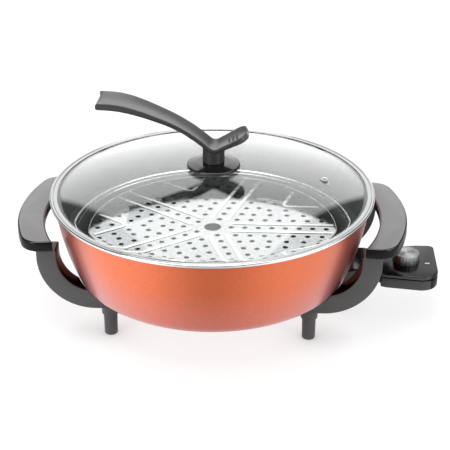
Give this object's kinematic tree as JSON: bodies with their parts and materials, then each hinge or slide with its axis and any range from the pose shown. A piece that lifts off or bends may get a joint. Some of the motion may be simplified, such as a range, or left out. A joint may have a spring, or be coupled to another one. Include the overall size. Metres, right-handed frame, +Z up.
{
  "type": "electric hot pot",
  "caption": "Round copper electric pan on pegs with side grips, steam plate, domed glass lid with a swept lever handle and a plug-in temperature control.",
  "frame": {"origin": "on the floor under the middle of the object's bounding box, 18.5 mm from the pan's axis towards the control", "axes": "+X towards the temperature control, +Z up, -Y the side shown at the front of the picture"},
  "size_m": [0.471, 0.36, 0.2513],
  "materials": {
    "copper_paint": "glossy metallic copper paint",
    "non_stick": "matt dark grey non-stick coating",
    "polished_steel": "bright polished stainless steel",
    "plain_steel": "plain bright steel",
    "cast_aluminium": "as cast",
    "clear_glass": "clear toughened glass",
    "black_gloss": "black heat-resistant plastic, glossy edges, fine matt tops",
    "black_satin": "black heat-resistant plastic, satin",
    "grey_plastic": "dark grey heat-resistant plastic, fine matt",
    "silver_print": "silver print on a thin disc",
    "brass": "plain",
    "rubber": "soft black",
    "ceramic": "unglazed white",
    "white_plastic": "white translucent"
  },
  "bodies": {
    "pan": {"outer_shell": "copper_paint", "inner_pot": "non_stick", "heating_element": "cast_aluminium", "terminal_block": "ceramic", "terminal_pin_1": "plain_steel", "terminal_pin_2": "plain_steel", "probe_well": "cast_aluminium", "terminal_shroud": "black_gloss", "left_mounting_bar": "plain_steel", "right_mounting_bar": "plain_steel", "left_grip": "black_gloss", "right_grip": "black_gloss", "left_front_strut": "grey_plastic", "left_front_peg": "grey_plastic", "left_front_leg_screw": "plain_steel", "left_front_grip_screw": "plain_steel", "left_rear_strut": "grey_plastic", "left_rear_peg": "grey_plastic", "left_rear_leg_screw": "plain_steel", "left_rear_grip_screw": "plain_steel", "right_front_strut": "grey_plastic", "right_front_peg": "grey_plastic", "right_front_leg_screw": "plain_steel", "right_front_grip_screw": "plain_steel", "right_rear_strut": "grey_plastic", "right_rear_peg": "grey_plastic", "right_rear_leg_screw": "plain_steel", "right_rear_grip_screw": "plain_steel"},
    "steam_plate_body": {"steam_plate": "polished_steel", "steam_plate_foot_1": "polished_steel", "steam_plate_foot_2": "polished_steel", "steam_plate_foot_3": "polished_steel"},
    "lid_body": {"lid_glass": "clear_glass", "lid_ring": "polished_steel", "steam_vent": "plain_steel", "lid_handle_flange": "black_satin", "lid_handle": "black_satin", "lid_handle_seal": "rubber", "lid_handle_screw": "plain_steel"},
    "control_body": {"control_base": "black_gloss", "control_cover": "black_gloss", "control_probe": "plain_steel", "contact_socket_1": "brass", "contact_socket_2": "brass", "contact_arm": "brass", "control_screw_1": "plain_steel", "control_screw_2": "plain_steel", "cord_bushing": "rubber", "indicator": "white_plastic"},
    "knob_body": {"knob": "black_gloss", "knob_disc": "silver_print", "knob_shaft": "plain_steel"}
  },
  "joints": [
    {"name": "steam_plate_lift", "type": "slide", "parent": "pan", "child": "steam_plate_body", "axis": [0, 0, 1], "range_m": [0, 0.12]},
    {"name": "lid_lift", "type": "slide", "parent": "steam_plate_body", "child": "lid_body", "axis": [0, 0, 1], "range_m": [0, 0.15]},
    {"name": "control_pull", "type": "slide", "parent": "pan", "child": "control_body", "axis": [1, 0, 0], "range_m": [0, 0.07]},
    {"name": "knob_turn", "type": "hinge", "parent": "control_body", "child": "knob_body", "pos_m": [0.201, 0, 0.066], "axis": [0, 0, 1], "range_deg": [0, 270]}
  ]
}
